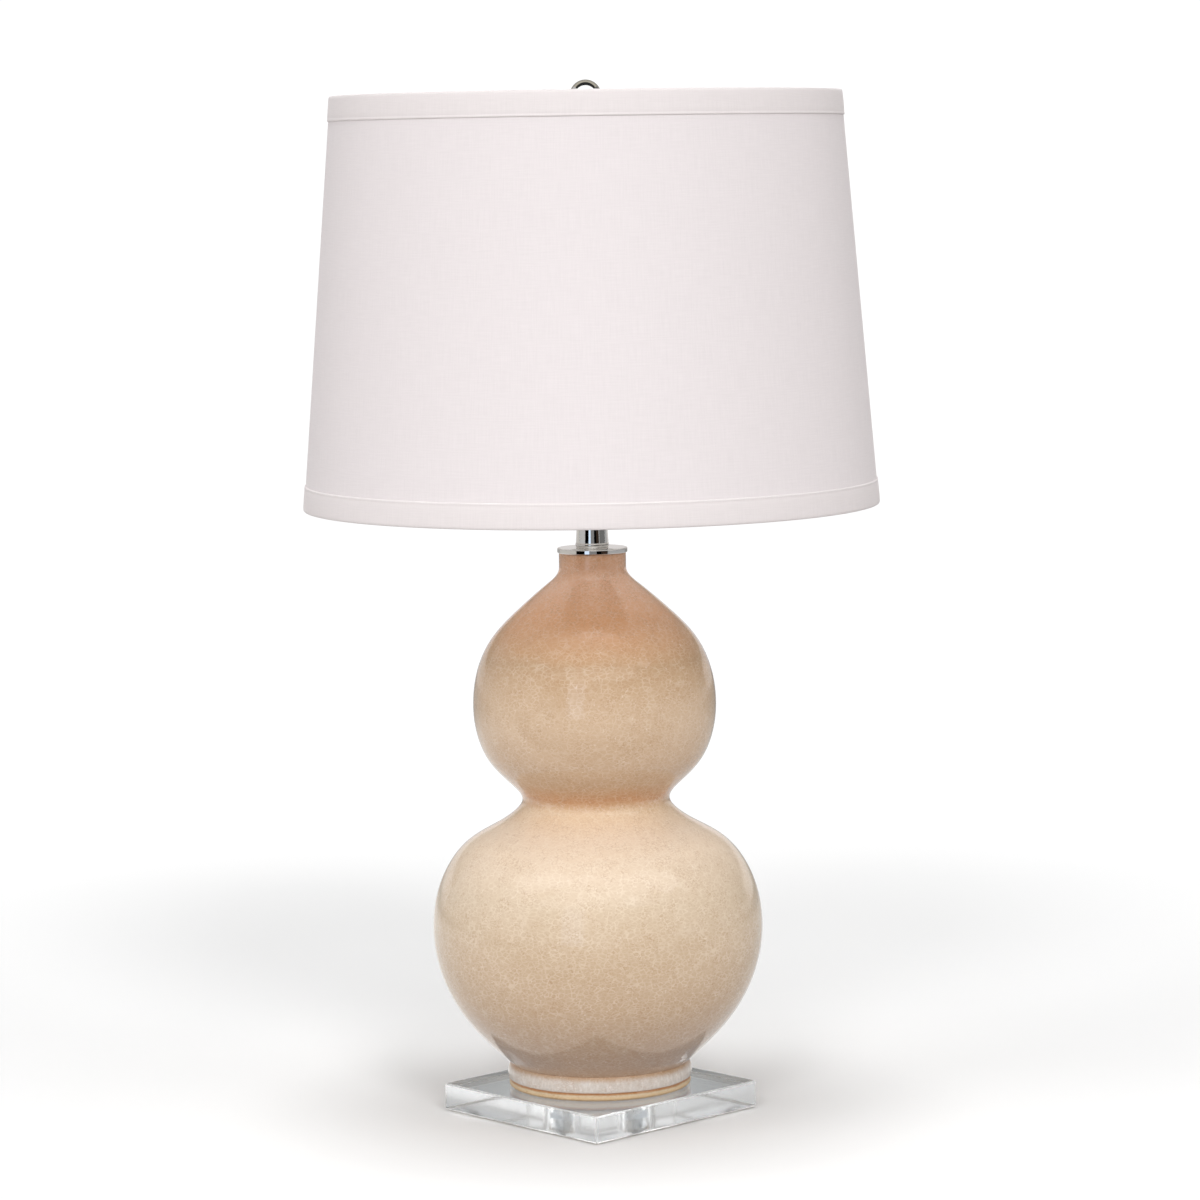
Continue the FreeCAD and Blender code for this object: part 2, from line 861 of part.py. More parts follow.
def bulb_cap_top():
    return bulb_cap_bottom() + bulb_cap_length


def bulb_base():
    """Metal cap of the bulb, its thread left plain, tapered in at the foot."""
    bottom, top, wall = bulb_cap_bottom(), bulb_cap_top(), bulb_cap_wall
    return turned(
        (0, bottom),
        (bulb_cap_foot, bottom),
        (bulb_cap_radius, bottom + bulb_cap_taper),
        (bulb_cap_radius, top),
        (bulb_cap_radius - wall, top),
        (bulb_cap_radius - wall, bottom + bulb_cap_taper + wall / 2),
        (bulb_cap_foot - wall / 2, bottom + wall),
        (0, bottom + wall),
    )


def bulb_insulator():
    top = bulb_cap_bottom()
    bottom = top - bulb_insulator_height
    return turned((0, bottom), (bulb_contact_radius, bottom), (bulb_cap_foot - bulb_cap_wall, top), (0, top))


def bulb_contact():
    top = bulb_cap_bottom() - bulb_insulator_height
    bottom = bulb_bottom()
    return turned((0, bottom), (bulb_contact_radius / 2, bottom), (bulb_contact_radius, top), (0, top))


def bulb_outline(inward):
    """Pear outline of the glass from its neck to its crown, moved inwards."""
    centre = bulb_bottom() + bulb_length - bulb_radius
    neck = bulb_neck - inward
    cove, ball = bulb_cove + inward, bulb_radius - inward
    across = neck + cove
    drop = math.sqrt((cove + ball) ** 2 - across**2)
    share = ball / (cove + ball)
    join = (share * across, centre - share * drop)
    cove_turn = math.atan2(drop, across) / 2
    cove_middle = (across - cove * math.cos(cove_turn), centre - drop + cove * math.sin(cove_turn))
    crown_turn = (math.pi / 2 - 2 * cove_turn) / 2
    ball_middle = (ball * math.cos(crown_turn), centre + ball * math.sin(crown_turn))
    return neck, centre - drop, cove_middle, join, ball_middle, (0, centre + ball)


def bulb_glass():
    """Thin frosted glass, closed, with a plug that stands in the metal cap."""
    top = bulb_cap_top()
    plug = bulb_cap_radius - bulb_cap_wall - bulb_contact_gap
    wall = bulb_glass_wall
    neck, cove_start, cove_middle, join, ball_middle, crown = bulb_outline(0)
    neck_in, cove_start_in, cove_middle_in, join_in, ball_middle_in, crown_in = bulb_outline(wall)
    plug_bottom = top - bulb_plug_depth
    return turned(
        (0, plug_bottom),
        (plug, plug_bottom),
        (plug, top),
        (neck, top),
        (neck, cove_start),
        (cove_middle, join),
        (ball_middle, crown),
        crown_in,
        (ball_middle_in, join_in),
        (cove_middle_in, (neck_in, cove_start_in)),
        (plug - wall, top + wall),
        (plug - wall, plug_bottom + wall),
        (0, plug_bottom + wall),
    )


# Shade


def shade_radius(height, inward=0.0):
    """Radius of the fabric's outside at a height, less a distance inwards."""
    share = (shade_top - height) / shade_height
    return shade_top_radius + share * (shade_bottom_radius - shade_top_radius) - inward


def shade_wall(inward, thickness):
    """Sloping wall that starts a distance inside the fabric's outside, open at both ends."""
    low = shade_bottom + trim_thickness + glue_gap
    high = shade_top - trim_thickness - glue_gap
    return turned(
        (shade_radius(low, inward + thickness), low),
        (shade_radius(low, inward), low),
        (shade_radius(high, inward), high),
        (shade_radius(high, inward + thickness), high),
    )


def shade_fabric():
    return shade_wall(0, fabric_thickness)


def shade_liner():
    return shade_wall(fabric_thickness + glue_gap, liner_sheet)


def laminate():
    """How far the two bonded layers of the wall reach in from the outside."""
    return fabric_thickness + glue_gap + liner_sheet


def ring_place(edge, inwards):
    """Middle of an edge ring's wire: (radius, height). Inwards is -1 at the top, +1 at the bottom."""
    height = edge + inwards * (trim_thickness + glue_gap + ring_gap + ring_wire_radius)
    return shade_radius(height, laminate() + ring_gap + ring_wire_radius), height


def edge_ring(edge, inwards):
    radius, height = ring_place(edge, inwards)
    return Part.makeTorus(radius, ring_wire_radius, FreeCAD.Vector(0, 0, height))


def edge_trim(edge, inwards):
    """Tape folded over an edge of the shade: a band outside, a fold and a flap behind the ring."""
    depth = laminate() + 2 * ring_gap + 2 * ring_wire_radius
    deep = depth + trim_thickness
    band = edge + inwards * trim_width
    flap = edge + inwards * trim_flap
    fold = edge + inwards * trim_thickness
    soft = trim_round
    bulge = corner_share * soft

    def out(height, outward):
        return shade_radius(height, -outward)

    return turned(
        (out(band, glue_gap), band),
        (out(band, trim_thickness), band),
        (out(edge + inwards * soft, trim_thickness), edge + inwards * soft),
        (
            (out(edge, trim_thickness - bulge), edge + inwards * bulge),
            (out(edge, trim_thickness - soft), edge),
        ),
        (out(edge, soft - deep), edge),
        (
            (out(edge, bulge - deep), edge + inwards * bulge),
            (out(edge + inwards * soft, -deep), edge + inwards * soft),
        ),
        (out(flap, -deep), flap),
        (out(flap, -depth), flap),
        (out(fold, -depth), fold),
        (out(fold, glue_gap), fold),
    )


def arm_path():
    """Ends of a spider arm's middle line, in the plane of the lamp's right side."""
    start = at(spider_arm_start, harp_top + spider_hub_thickness / 2)
    ring_radius, ring_height = ring_place(shade_top, -1)
    return start, at(ring_radius, ring_height)


def facing_back(shapes):
    """Turns a set of arms so that the first one points to the back."""
    return [shape.rotated(ORIGIN, UP, 90) for shape in shapes]


def shade_spider():
    """Washer on the harp's stud with arms welded to its rim, which slope up to the top ring."""
    hub = tube(stud_radius + spider_hole_clearance, spider_hub_radius, harp_top, hub_top)
    start, end = arm_path()
    arms = facing_back(round_about_axis(rod(start, end, spider_arm_radius), spider_arms))
    radius, height = ring_place(shade_top, -1)
    ring_space = Part.makeTorus(radius, ring_wire_radius + weld_gap, FreeCAD.Vector(0, 0, height))
    spider = hub.fuse(arms).cut(ring_space)
    inside = disc(radius, harp_top - 2 * spider_arm_radius, shade_top)
    return spider.common(inside).removeSplitter()


def shade_top_trim():
    """Top tape, notched where the spider's arms reach the ring."""
    start, end = arm_path()
    notch = rod(start, end, spider_arm_radius + arm_notch)
    return edge_trim(shade_top, -1).cut(facing_back(round_about_axis(notch, spider_arms)))


# Finial


def finial_join():
    """Height where the ball meets its tapped foot."""
    return hub_top + finial_height - 2 * finial_ball_radius + finial_flat


def finial_base():
    """Turned foot of the finial, waisted, with a blind bore for the stud."""
    bore = stud_radius + finial_bore_clearance
    bore_top = harp_top + stud_length + finial_bore_spare
    join = finial_join()
    seat = math.sqrt(2 * finial_ball_radius * finial_flat - finial_flat**2) + finial_seat_lip
    flange_top = hub_top + finial_flange
    waist = (finial_waist_radius, flange_top + finial_waist_place * (join - flange_top))
    return turned(
        (bore, hub_top),
        (finial_flange_radius, hub_top),
        (finial_flange_radius, flange_top),
        (finial_waist_radius + finial_step, flange_top),
        (waist, (seat, join)),
        (0, join),
        (0, bore_top),
        (bore, bore_top),
    )


def finial_ball():
    """Polished ball with a small flat where it sits on its foot."""
    centre = hub_top + finial_height - finial_ball_radius
    ball = Part.makeSphere(finial_ball_radius, FreeCAD.Vector(0, 0, centre))
    join = finial_join()
    return ball.common(disc(2 * finial_ball_radius, join, join + 2 * finial_ball_radius))


PIECES = {
    "base_plate": base_plate,
    "base_feet": base_feet,
    "base_washer": base_washer,
    "base_lock_washer": base_lock_washer,
    "base_nut": base_nut,
    "lamp_pipe": lamp_pipe,
    "gourd_body": gourd_body,
    "gourd_foot": gourd_foot,
    "cord_bushing": cord_bushing,
    "vase_cap": vase_cap,
    "neck_tube": neck_tube,
    "harp_saddle": harp_saddle,
    "harp_wire": harp_wire,
    "harp_ferrule_left": lambda: ferrule(-1),
    "harp_ferrule_right": lambda: ferrule(1),
    "harp_stud": harp_stud,
    "socket_cap": socket_cap,
    "cap_set_screw": cap_set_screw,
    "socket_shell": socket_shell,
    "socket_liner": socket_liner,
    "switch_body": switch_body,
    "terminal_screws": terminal_screws,
    "screw_shell": screw_shell,
    "centre_contact": centre_contact,
    "switch_spindle": switch_spindle,
    "switch_knob": switch_knob,
    "bulb_base": bulb_base,
    "bulb_insulator": bulb_insulator,
    "bulb_contact": bulb_contact,
    "bulb_glass": bulb_glass,
    "shade_spider": shade_spider,
    "shade_top_ring": lambda: edge_ring(shade_top, -1),
    "shade_bottom_ring": lambda: edge_ring(shade_bottom, 1),
    "shade_liner": shade_liner,
    "shade_fabric": shade_fabric,
    "shade_top_trim": shade_top_trim,
    "shade_bottom_trim": lambda: edge_trim(shade_bottom, 1),
    "finial_base": finial_base,
    "finial_ball": finial_ball,
}

os.makedirs("parts", exist_ok=True)
for name, make in PIECES.items():
    piece = make()
    piece.exportStep(f"parts/{name}.step")
    state = "valid" if piece.isValid() else "INVALID"
    print(name, len(piece.Solids), "solids", round(piece.Volume), "mm3", state)
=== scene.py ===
"""Looks of a table lamp: a crackle-glazed double gourd on a clear block, under a tapered drum shade."""

import math

import bpy
from mathutils import Matrix, Vector


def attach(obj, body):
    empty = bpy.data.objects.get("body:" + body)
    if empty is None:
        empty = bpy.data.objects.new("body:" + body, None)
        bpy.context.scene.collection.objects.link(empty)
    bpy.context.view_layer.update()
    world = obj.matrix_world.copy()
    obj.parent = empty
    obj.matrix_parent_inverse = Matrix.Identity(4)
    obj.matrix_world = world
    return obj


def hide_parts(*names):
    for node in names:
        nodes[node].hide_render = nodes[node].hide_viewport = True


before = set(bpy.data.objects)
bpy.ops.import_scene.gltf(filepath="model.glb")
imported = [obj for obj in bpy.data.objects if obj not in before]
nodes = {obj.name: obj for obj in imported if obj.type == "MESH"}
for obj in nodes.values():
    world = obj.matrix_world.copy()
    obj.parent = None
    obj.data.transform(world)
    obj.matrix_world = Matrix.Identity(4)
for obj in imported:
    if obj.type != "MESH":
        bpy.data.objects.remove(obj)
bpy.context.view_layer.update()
MM = 0.001

# Camera, in metres and degrees round the lamp's axis
IMAGE_SIDE = 1200
FOCAL_PIXELS = 4209
SENSOR = 36.0
CAMERA_AZIMUTH = 46.6
CAMERA_DISTANCE = 2.961
CAMERA_HEIGHT = 0.679
CAMERA_PITCH = 6.009
CAMERA_ROLL = -0.85
AXIS_OFFSET_PIXELS = -7.0

# Paper sweep: its side in metres, the light that it adds for the camera in front of the lamp and behind it,
# less behind and near the block to leave a painted shadow there, and its plain white
FLOOR_SIDE = 24.0
FLOOR_LIFT_FRONT = 0.175
FLOOR_LIFT_BACK = 0.115
PAPER_WHITE = 1.05

# Strength of the studio round the lamp for each kind of ray
WORLD_AMBIENT = 0.33
WORLD_GLOSS = 0.03
WORLD_CLEAR = 0.58
WORLD_BEHIND_CLEAR = 0.3

# Height that lights and cards face, and how far off the lights stand, in metres
STUDIO_MIDDLE = 0.35
LIGHT_DISTANCE = 2.6

# Ceramic body, in millimetres above the table: its foot ring, the top of the foot's band, the top of the neck
FOOT_BOTTOM = 20.5
FOOT_TOP = 38.5
NECK_TOP = 401.5

# Shade, in millimetres as built, the radius at which its weave is drawn, and its steps round
SHADE_TOP = 723.6
SHADE_BOTTOM = 434.9
SHADE_TOP_RADIUS = 178.4
SHADE_BOTTOM_RADIUS = 202.4
WEAVE_RADIUS = 190.0
SHADE_STEPS = 256

# Thickness of cloth and tape, the tape's band outside, flap inside and depth over the edge, and the
# cloth's lap, in millimetres
CLOTH = 0.5
TAPE = 0.8
TAPE_WIDTH = 17.6
TAPE_FLAP = 8.0
TAPE_DEPTH = 5.35
LAP_WIDTH = 13.0


def around(angle, elevation, distance, middle):
    """A place round the lamp, at an angle to the right of the camera and an elevation in degrees."""
    turn, rise = math.radians(CAMERA_AZIMUTH + angle), math.radians(elevation)
    flat = distance * math.cos(rise)
    return Vector((flat * math.sin(turn), -flat * math.cos(turn), middle + distance * math.sin(rise)))


def facing(place, target):
    """Turn of a lamp or camera at a place that looks at a target."""
    return (target - place).to_track_quat("-Z", "Y")


# Colours and materials


def colour(code):
    """Linear colour of an sRGB hex value."""
    channels = [int(code[k : k + 2], 16) / 255 for k in (1, 3, 5)]
    return (*[c / 12.92 if c <= 0.04045 else ((c + 0.055) / 1.055) ** 2.4 for c in channels], 1.0)


def add(tree, kind, links=None, **settings):
    """Adds a node with its settings. Its inputs are linked to sockets or set to values."""
    made = tree.nodes.new(kind)
    for name, value in settings.items():
        setattr(made, name, value)
    for name, value in (links or {}).items():
        if isinstance(value, bpy.types.NodeSocket):
            tree.links.new(value, made.inputs[name])
        else:
            made.inputs[name].default_value = value
    return made


def material(name, sockets):
    """A material with its shader's own sockets set."""
    made = bpy.data.materials.new(name)
    made.use_nodes = True
    shader = made.node_tree.nodes["Principled BSDF"]
    for socket, value in sockets.items():
        shader.inputs[socket].default_value = value
    return made, made.node_tree, shader


def ramp(tree, factor, stops):
    """Colour along a factor, from (position, sRGB hex) stops."""
    made = add(tree, "ShaderNodeValToRGB", {"Fac": factor})
    points = made.color_ramp.elements
    while len(points) < len(stops):
        points.new(0.5)
    for point, (position, code) in zip(points, stops):
        point.position = position
        point.color = colour(code)
    return made.outputs["Color"]


def blended(tree, factor, first, second):
    """Two colours mixed by a factor."""
    return add(tree, "ShaderNodeMix", {0: factor, 6: first, 7: second}, data_type="RGBA").outputs[2]


def map_range(tree, value, low, high, to_low=0.0, to_high=1.0, smooth=False):
    """A value carried from one range to another."""
    kind = "SMOOTHSTEP" if smooth else "LINEAR"
    links = {"Value": value, "From Min": low, "From Max": high, "To Min": to_low, "To Max": to_high}
    return add(tree, "ShaderNodeMapRange", links, interpolation_type=kind).outputs["Result"]


def maths(tree, operation, first, second):
    """Two values joined by an operation."""
    return add(tree, "ShaderNodeMath", {0: first, 1: second}, operation=operation).outputs[0]


def where(tree):
    """Object coordinates, in metres."""
    return add(tree, "ShaderNodeTexCoord").outputs["Object"]


def height(tree):
    """Height above the table, in metres."""
    return add(tree, "ShaderNodeSeparateXYZ", {0: where(tree)}).outputs["Z"]


def noise(tree, size_mm, detail=2.0, vector=None):
    """Noise whose waves are a size in millimetres."""
    links = {"Vector": vector or where(tree), "Scale": 1 / (size_mm * MM), "Detail": detail}
    return add(tree, "ShaderNodeTexNoise", links).outputs["Fac"]


def swing(tree, size_mm, reach):
    """Noise that swings about zero over a reach."""
    return maths(tree, "MULTIPLY", maths(tree, "SUBTRACT", noise(tree, size_mm), 0.5), reach)


def stretched(tree, vector, scale):
    """Coordinates scaled along their axes: a pattern on them is drawn out where the scale is below 1."""
    return add(tree, "ShaderNodeMapping", {"Vector": vector, "Scale": scale}).outputs[0]


def vector_maths(tree, operation, links):
    """A vector made from others by an operation."""
    return add(tree, "ShaderNodeVectorMath", links, operation=operation).outputs[0]


def cracks(tree, size_mm, vector):
    """Distance to the nearest crack of a net with cells of a size in millimetres, 0 to about 0.5."""
    links = {"Vector": vector, "Scale": 1 / (size_mm * MM)}
    return add(tree, "ShaderNodeTexVoronoi", links, feature="DISTANCE_TO_EDGE").outputs["Distance"]


def bump(tree, shader, value, depth_mm, strength=1.0, onto=None):
    """Relief of a depth in millimetres on the shader's normal."""
    links = {"Height": value, "Distance": depth_mm * MM, "Strength": strength}
    if onto:
        links["Normal"] = onto
    made = add(tree, "ShaderNodeBump", links).outputs["Normal"]
    tree.links.new(made, shader.inputs["Normal"])
    return made


def glow(tree, strength, code="#FFFFFF"):
    """Light of a strength and colour."""
    return add(tree, "ShaderNodeEmission", {"Color": colour(code), "Strength": strength}).outputs[0]


def either(tree, factor, first, second):
    """The first shader where the factor is 0, the second where it is 1."""
    return add(tree, "ShaderNodeMixShader", {0: factor, 1: first, 2: second}).outputs[0]


def wandering(tree, size_mm, reach_mm):
    """Object coordinates pushed about by noise, so that a pattern on them isn't regular."""
    at = where(tree)
    links = {"Vector": at, "Scale": 1 / (size_mm * MM), "Detail": 2.0}
    push = add(tree, "ShaderNodeTexNoise", links).outputs["Color"]
    centred = vector_maths(tree, "SUBTRACT", {0: push, 1: (0.5, 0.5, 0.5)})
    scaled = vector_maths(tree, "SCALE", {0: centred, "Scale": reach_mm * MM})
    return vector_maths(tree, "ADD", {0: at, 1: scaled})


def crackle(tree, shader, glaze):
    """Net of fine cracks in the glaze, in cells of about 4 mm split into smaller ones, and its flecks."""
    flattened = stretched(tree, wandering(tree, 3.0, 1.3), (1.0, 1.0, 1.5))
    # Cracks are a hair wide and are drawn up to 1 mm wide, so that they show
    coarse_line = map_range(tree, cracks(tree, 4.0, flattened), 0.05, 0.13, 1.0, 0.0)
    # The finest lines run in wavy arcs, one round the other
    swell = maths(tree, "MULTIPLY", noise(tree, 11.0, 1.5, flattened), 13.0)
    fine_line = map_range(tree, maths(tree, "PINGPONG", swell, 0.5), 0.02, 0.16, 0.6, 0.0)
    patchy = map_range(tree, noise(tree, 6.0, 3.0), 0.36, 0.64, 0.3, 1.0)
    pale_share = maths(tree, "MULTIPLY", maths(tree, "MAXIMUM", coarse_line, fine_line), patchy)
    stained = map_range(tree, cracks(tree, 2.7, flattened), 0.02, 0.08, 1.0, 0.0)
    stained_parts = map_range(tree, noise(tree, 9.0, 2.0), 0.40, 0.62, 0.1, 1.0)
    stained_share = maths(tree, "MULTIPLY", stained, stained_parts)
    tone = blended(tree, maths(tree, "MULTIPLY", stained_share, 0.36), glaze, colour("#A8764C"))
    # The net stands out most on the pale lower bulge and is fainter towards the foot
    depth = map_range(tree, height(tree), 0.19, 0.27, 0.27, 0.20)
    depth = maths(tree, "MULTIPLY", depth, map_range(tree, height(tree), 0.035, 0.10, 0.40, 1.0))
    tone = blended(tree, maths(tree, "MULTIPLY", pale_share, depth), tone, colour("#FFF4E2"))
    flecks = map_range(tree, noise(tree, 2.4, 2.0), 0.66, 0.75, 0.0, 0.28)
    tone = blended(tree, flecks, tone, colour("#FFF5E9"))
    tree.links.new(tone, shader.inputs["Base Color"])
    wave = bump(tree, shader, noise(tree, 55.0, 1.0), 0.9, 0.5)
    bump(tree, shader, maths(tree, "SUBTRACT", 1.0, pale_share), 0.04, 0.3, wave)


def glaze_material():
    """Clear gloss over a peach to cream crackle glaze. Its colour by height is partly the glaze's own and
    partly painted shade and painted reflection, darker at the waist, on the upper shoulder and towards the
    foot.
    """
    made, tree, shader = material(
        "stoneware_crackle_glaze_gloss",
        {"Roughness": 0.07, "IOR": 1.52, "Coat Weight": 0.25, "Coat Roughness": 0.03},
    )
    share = map_range(tree, height(tree), FOOT_BOTTOM * MM, NECK_TOP * MM)
    # The stops by height hold painted shade and painted reflection as well as the glaze's colour: the darker
    # upper shoulder is partly a painted reflection of the shade above it, and the darker bottom is partly
    # painted shade
    tone = ramp(
        tree,
        maths(tree, "ADD", share, swing(tree, 60.0, 0.03)),
        (
            (0.08, "#B89B84"),
            (0.19, "#C9AB8C"),
            (0.38, "#DAC5AB"),
            (0.49, "#EBD4BC"),
            (0.53, "#DFC2A1"),
            (0.552, "#CC996F"),
            (0.585, "#CDAC8C"),
            (0.71, "#D8BC9F"),
            (0.81, "#BC9B79"),
            (0.89, "#E4AB80"),
            (0.95, "#F0BD9C"),
            (1.00, "#E3B08B"),
        ),
    )
    crackle(tree, shader, tone)
    return made


def foot_material():
    """Whitish glaze that ran thick over the foot, an iron-brown line under it and bare clay below."""
    made, tree, shader = material("stoneware_foot_glaze_and_bare_clay", {"IOR": 1.52})
    level = maths(tree, "ADD", height(tree), swing(tree, 14.0, 1.6 * MM))
    share = map_range(tree, level, FOOT_BOTTOM * MM, FOOT_TOP * MM)
    # The stops hold painted light and shade with the glazes' and clay's own colours: the bare clay ring is
    # lighter near its top, a painted highlight, and darker at its bottom edge, painted shade
    tone = ramp(
        tree,
        share,
        (
            (0.00, "#A98A66"),
            (0.10, "#CDAE86"),
            (0.20, "#CAB899"),
            (0.26, "#AD7442"),
            (0.30, "#B07A4A"),
            (0.36, "#C9BFB6"),
            (0.72, "#C8BEB5"),
            (0.85, "#BAA088"),
            (0.95, "#AE8A6A"),
            (1.00, "#B89B84"),
        ),
    )
    # The glaze ran down in white streaks over this band
    drawn = stretched(tree, where(tree), (1.0, 1.0, 0.45))
    streaks = map_range(tree, noise(tree, 2.6, 4.0, drawn), 0.44, 0.66, 0.1, 0.75)
    on_band = maths(
        tree, "MULTIPLY", map_range(tree, share, 0.34, 0.42), map_range(tree, share, 0.68, 0.90, 1.0, 0.0)
    )
    tone = blended(tree, maths(tree, "MULTIPLY", streaks, on_band), tone, colour("#DDD6D1"))
    crackle(tree, shader, tone)
    roughness = map_range(tree, share, 0.22, 0.36, 0.62, 0.08)
    tree.links.new(roughness, shader.inputs["Roughness"])
    return made


def acrylic_material():
    """Cast acrylic, flame-polished clear, with bevels that the polisher left a little hazy."""
    made, tree, shader = material(
        "cast_acrylic_polished", {"Transmission Weight": 1.0, "IOR": 1.49, "Base Color": colour("#FBFCFC")}
    )
    normal = add(tree, "ShaderNodeTexCoord").outputs["Normal"]
    parts = add(tree, "ShaderNodeSeparateXYZ", {0: vector_maths(tree, "ABSOLUTE", {0: normal})}).outputs
    upward = parts["Z"]
    widest = maths(tree, "MAXIMUM", maths(tree, "MAXIMUM", parts["X"], parts["Y"]), upward)
    # The bevels are the haziest, and the sides are hazier than the top
    haze = map_range(tree, widest, 0.72, 0.97, 0.40, 0.03)
    haze = maths(tree, "MAXIMUM", haze, map_range(tree, upward, 0.0, 0.6, 0.14, 0.0))
    tree.links.new(haze, shader.inputs["Roughness"])
    tree.links.new(map_range(tree, widest, 0.72, 0.97, 0.55, 1.0), shader.inputs["Transmission Weight"])
    # The saw left upright marks on the sides, which the flame only half took away
    drawn = stretched(tree, where(tree), (1.0, 1.0, 0.12))
    on_sides = map_range(tree, upward, 0.2, 0.5, 1.0, 0.1)
    bump(tree, shader, maths(tree, "MULTIPLY", noise(tree, 2.6, 3.0, drawn), on_sides), 0.05, 0.6)
    return made


def metal_material(name, code, roughness, grain_mm, along=(1.0, 1.0, 1.0)):
    """Bare or plated metal: bright, with polishing marks that change its gloss a little."""
    made, tree, shader = material(name, {"Base Color": colour(code), "Metallic": 1.0})
    marks = noise(tree, grain_mm, 4.0, stretched(tree, where(tree), along))
    gloss = map_range(tree, marks, 0.3, 0.7, roughness * 0.7, roughness * 1.4)
    tree.links.new(gloss, shader.inputs["Roughness"])
    return made


def unrolled(tree):
    """Object coordinates unrolled round the lamp's axis at the shade's radius: metres round, then up."""
    parts = add(tree, "ShaderNodeSeparateXYZ", {0: where(tree)}).outputs
    turn = maths(tree, "ARCTAN2", parts["X"], maths(tree, "MULTIPLY", parts["Y"], -1.0))
    across = maths(tree, "MULTIPLY", turn, WEAVE_RADIUS * MM)
    return add(tree, "ShaderNodeCombineXYZ", {0: across, 1: parts["Z"]}).outputs[0]


def woven(tree, shader, thread_mm, low, high):
    """Plain weave of threads both ways, with slubs that lie along them."""
    flat = unrolled(tree)
    weft = noise(tree, thread_mm, 3.0, stretched(tree, flat, (0.06, 1.0, 1.0)))
    warp = noise(tree, thread_mm, 3.0, stretched(tree, flat, (1.0, 0.05, 1.0)))
    threads = maths(tree, "MULTIPLY", maths(tree, "ADD", weft, warp), 0.5)
    tone = map_range(tree, threads, 0.36, 0.64, 0.0, 1.0)
    tree.links.new(blended(tree, tone, colour(low), colour(high)), shader.inputs["Base Color"])
    bump(tree, shader, threads, 0.05, 0.5)


def cloth_material():
    """White linen-look cloth laminated to the shade: matt, with faint slubs and a soft sheen."""
    made, tree, shader = material(
        "linen_cloth_laminated_white",
        {"Roughness": 0.85, "Sheen Weight": 0.15, "Sheen Roughness": 0.5, "Specular IOR Level": 0.2},
    )
    # Threads are 0.4 mm apart and are drawn 0.9 mm apart, so that they show
    woven(tree, shader, 0.9, "#E4DDDE", "#E9E2E3")
    return made


def tape_material():
    """The same cloth cut as tape and folded over the edges, with its threads along it."""
    made, tree, shader = material(
        "linen_tape_folded_white", {"Roughness": 0.8, "Sheen Weight": 0.15, "Specular IOR Level": 0.2}
    )
    woven(tree, shader, 0.8, "#E3DCDC", "#E8E1E1")
    return made


def plain_material(name, sockets, low, high, grain_mm, relief_mm):
    """A moulded, painted, cast or paper surface: two near tones and a fine relief."""
    made, tree, shader = material(name, sockets)
    grain = noise(tree, grain_mm, 3.0)
    tone = map_range(tree, grain, 0.35, 0.65)
    tree.links.new(blended(tree, tone, colour(low), colour(high)), shader.inputs["Base Color"])
    bump(tree, shader, grain, relief_mm, 0.4)
    return made


# Metals
nickel = metal_material("nickel_plate_polished", "#E9E8E6", 0.035, 6.0)
satin = metal_material("nickel_plate_satin", "#C9C6C1", 0.24, 1.5, (1.0, 1.0, 0.15))
zinc = metal_material("zinc_plate_bright", "#E3E6E9", 0.42, 2.0)
brass = metal_material("brass_plain_turned", "#D2AE62", 0.22, 1.5)
aluminium = metal_material("aluminium_drawn", "#D3D4D6", 0.26, 1.2, (1.0, 1.0, 0.2))
solder = metal_material("solder_button", "#B9BABD", 0.35, 0.8)

# Clear and ceramic pieces
acrylic = acrylic_material()
glaze = glaze_material()
foot_glaze = foot_material()
# The thin bumpers lie against the block, so they let light straight through and don't bend it
bumper = plain_material(
    "polyurethane_bumper_clear", {"Roughness": 0.3, "Alpha": 0.15}, "#F0F1F1", "#F7F8F8", 1.0, 0.01
)

# Moulded, painted and woven pieces, and the bulb's glass
nylon = plain_material(
    "nylon_moulded_natural", {"Roughness": 0.35, "Transmission Weight": 0.25}, "#D8D5CC", "#E4E1D9", 3.0, 0.02
)
card = plain_material("card_vulcanised_brown", {"Roughness": 0.75}, "#5A4938", "#6A5743", 1.0, 0.05)
phenolic = plain_material("phenolic_moulded_black", {"Roughness": 0.42}, "#1C1A1A", "#262424", 0.8, 0.02)
knob_plastic = plain_material(
    "phenolic_knob_polished_black", {"Roughness": 0.18}, "#0F0F10", "#161617", 1.5, 0.01
)
black_glass = plain_material("glass_insulator_black", {"Roughness": 0.1}, "#101014", "#17171C", 1.0, 0.01)
frosted = plain_material(
    "glass_bulb_frosted", {"Roughness": 0.35, "Transmission Weight": 0.35}, "#F1F0EB", "#F8F7F3", 2.0, 0.01
)
wire_paint = plain_material("steel_wire_powder_coated", {"Roughness": 0.4}, "#E6E5E2", "#EFEEEC", 0.7, 0.02)
styrene = plain_material("styrene_lining_white", {"Roughness": 0.5}, "#F1F0EE", "#F7F6F4", 12.0, 0.02)
cloth = cloth_material()
tape = tape_material()

FINISHES = {
    acrylic: ["base_plate"],
    bumper: ["base_feet"],
    zinc: ["base_washer", "base_lock_washer", "base_nut", "lamp_pipe", "cap_set_screw"],
    glaze: ["gourd_body"],
    foot_glaze: ["gourd_foot"],
    nylon: ["cord_bushing"],
    nickel: ["vase_cap", "neck_tube", "socket_cap", "socket_shell", "finial_base", "finial_ball"],
    satin: [
        "harp_saddle",
        "harp_wire",
        "harp_ferrule_left",
        "harp_ferrule_right",
        "harp_stud",
        "shade_spider",
    ],
    card: ["socket_liner"],
    phenolic: ["switch_body"],
    brass: ["terminal_screws", "centre_contact", "switch_spindle"],
    aluminium: ["screw_shell", "bulb_base"],
    knob_plastic: ["switch_knob"],
    black_glass: ["bulb_insulator"],
    solder: ["bulb_contact"],
    frosted: ["bulb_glass"],
    wire_paint: ["shade_top_ring", "shade_bottom_ring"],
    styrene: ["shade_liner"],
}
for finish, names in FINISHES.items():
    for name in names:
        for each in nodes[name].material_slots:
            each.material = finish

# Cloth and tape of the shade


